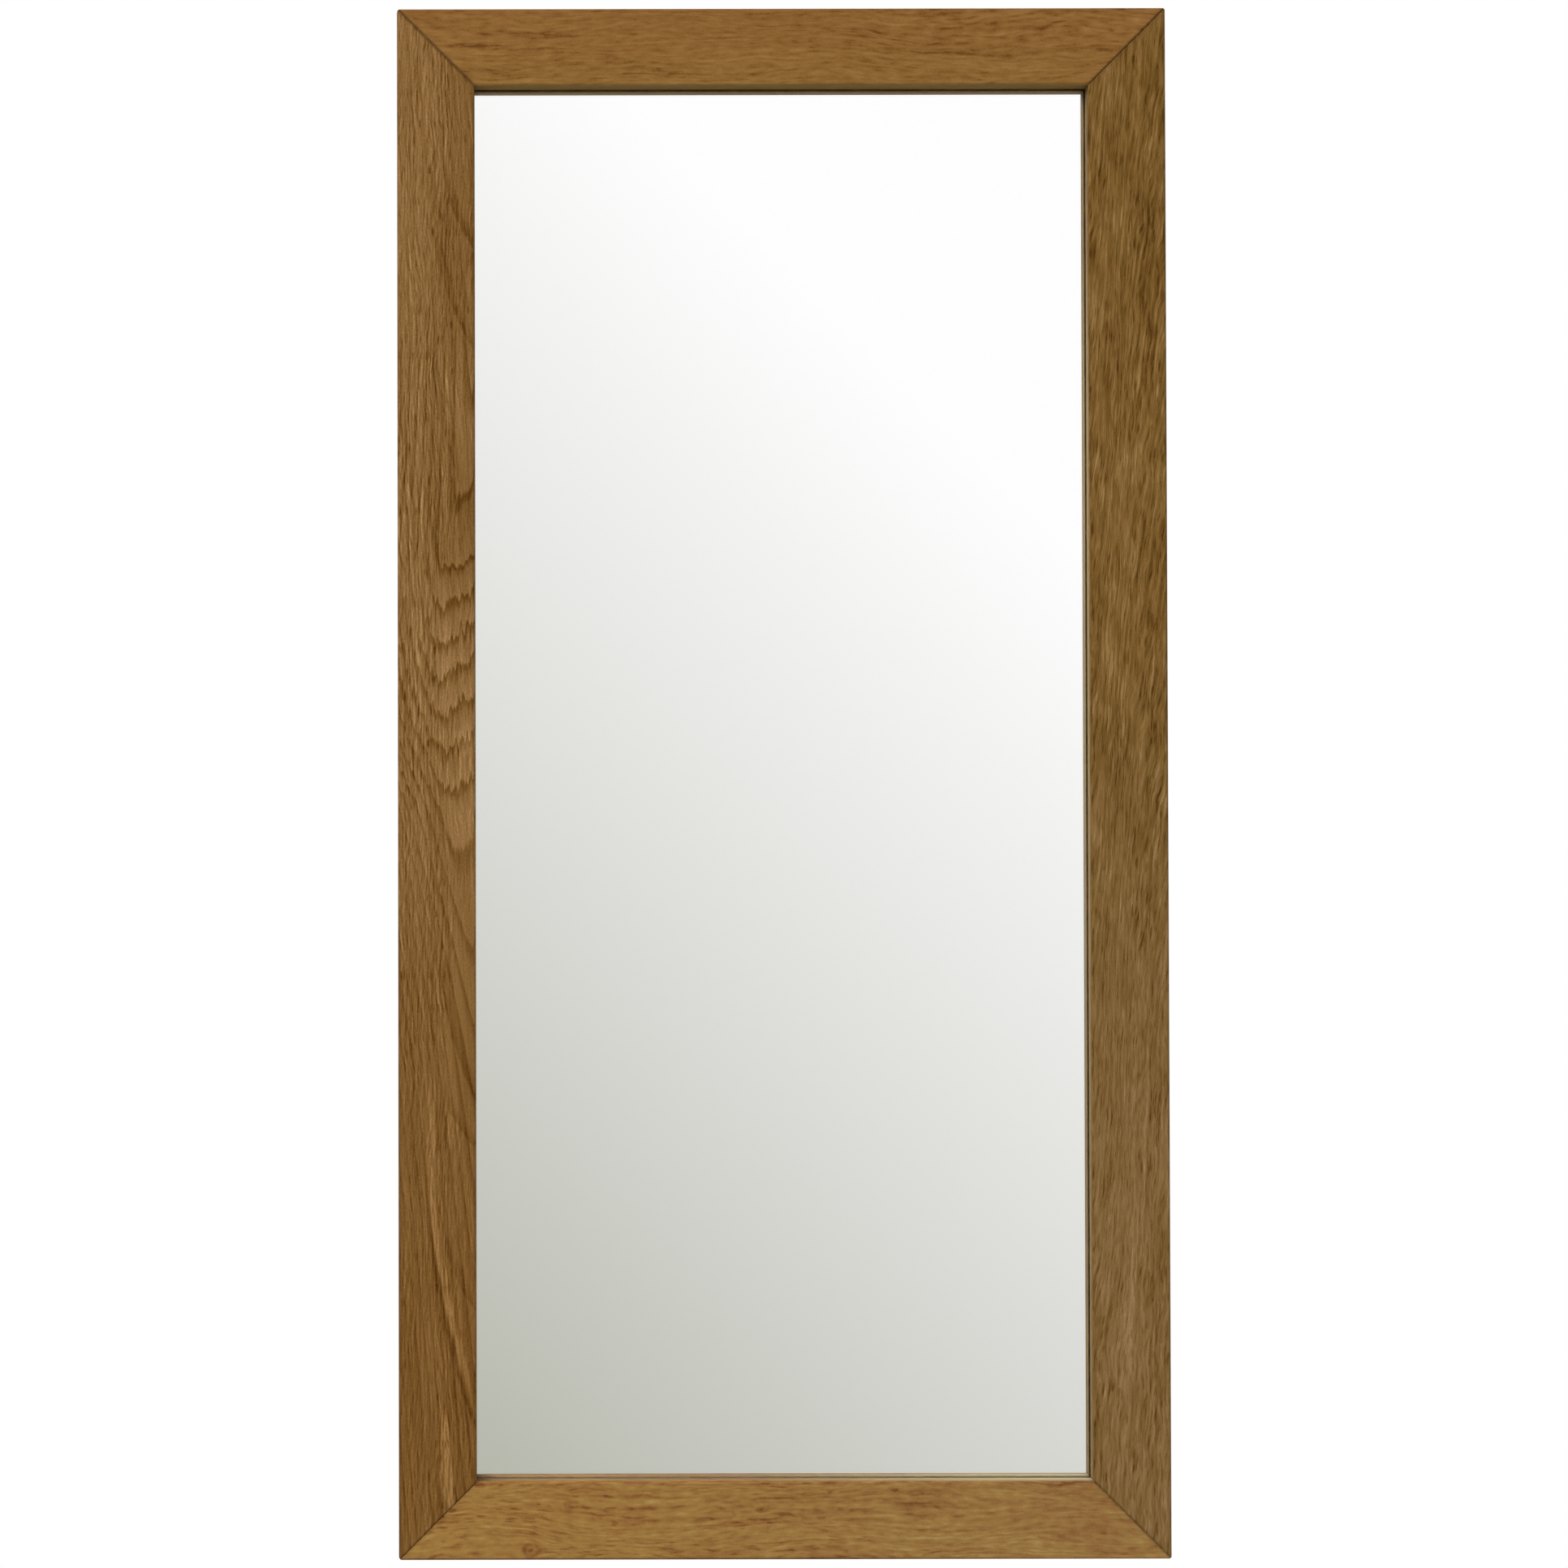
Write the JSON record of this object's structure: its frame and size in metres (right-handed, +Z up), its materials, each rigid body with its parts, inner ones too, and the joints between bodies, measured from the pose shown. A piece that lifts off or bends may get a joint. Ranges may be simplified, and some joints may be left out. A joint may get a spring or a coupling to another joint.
{
  "type": "framed wall mirror",
  "caption": "Tall rectangular wall mirror in a mitred oak frame, glass and backing board held in a rebate by glazing points, with swinging D-ring hangers and wall pads behind.",
  "frame": {"origin": "on the plane of the wall, behind the middle of the frame", "axes": "+Z up, +X to the right seen from the front, +Y into the wall; the front faces -Y"},
  "size_m": [0.596, 0.028, 1.2],
  "materials": {
    "oak_left": "oiled oak, straight grain with arches",
    "oak_right": "oiled oak, darker, flecked",
    "oak_top": "oiled oak, fine straight grain",
    "oak_bottom": "oiled oak, light, short dark pores",
    "beech": "pressed, raw",
    "glass": "clear, polished, faint green",
    "silver": "silvered",
    "hardboard": "matt brown hardboard",
    "rubber": "matt",
    "point_steel": "bright strip steel",
    "zinc_steel": "zinc plated",
    "ring_steel": "zinc plated wire",
    "screw_steel": "zinc plated"
  },
  "bodies": {
    "frame": {"left_stile": "oak_left", "right_stile": "oak_right", "top_rail": "oak_top", "bottom_rail": "oak_bottom", "biscuit_top_left": "beech", "biscuit_top_right": "beech", "biscuit_bottom_left": "beech", "biscuit_bottom_right": "beech", "mirror_glass": "glass", "silver_coating": "silver", "backing_board": "hardboard", "setting_blocks": "rubber", "points_left_stile": "point_steel", "points_right_stile": "point_steel", "points_top_rail": "point_steel", "points_bottom_rail": "point_steel", "left_hanger_strap": "zinc_steel", "right_hanger_strap": "zinc_steel", "left_hanger_screws": "screw_steel", "right_hanger_screws": "screw_steel", "wall_pad_top_left": "rubber", "wall_pad_top_right": "rubber", "wall_pad_bottom_left": "rubber", "wall_pad_bottom_right": "rubber"},
    "left_ring": {"left_d_ring": "ring_steel"},
    "right_ring": {"right_d_ring": "ring_steel"}
  },
  "joints": [
    {"name": "left_ring_swing", "type": "hinge", "parent": "frame", "child": "left_ring", "pos_m": [-0.273, -0.00342, 0.4], "axis": [1, 0, 0], "range_deg": [0, 175]},
    {"name": "right_ring_swing", "type": "hinge", "parent": "frame", "child": "right_ring", "pos_m": [0.273, -0.00342, 0.4], "axis": [1, 0, 0], "range_deg": [0, 175]}
  ]
}
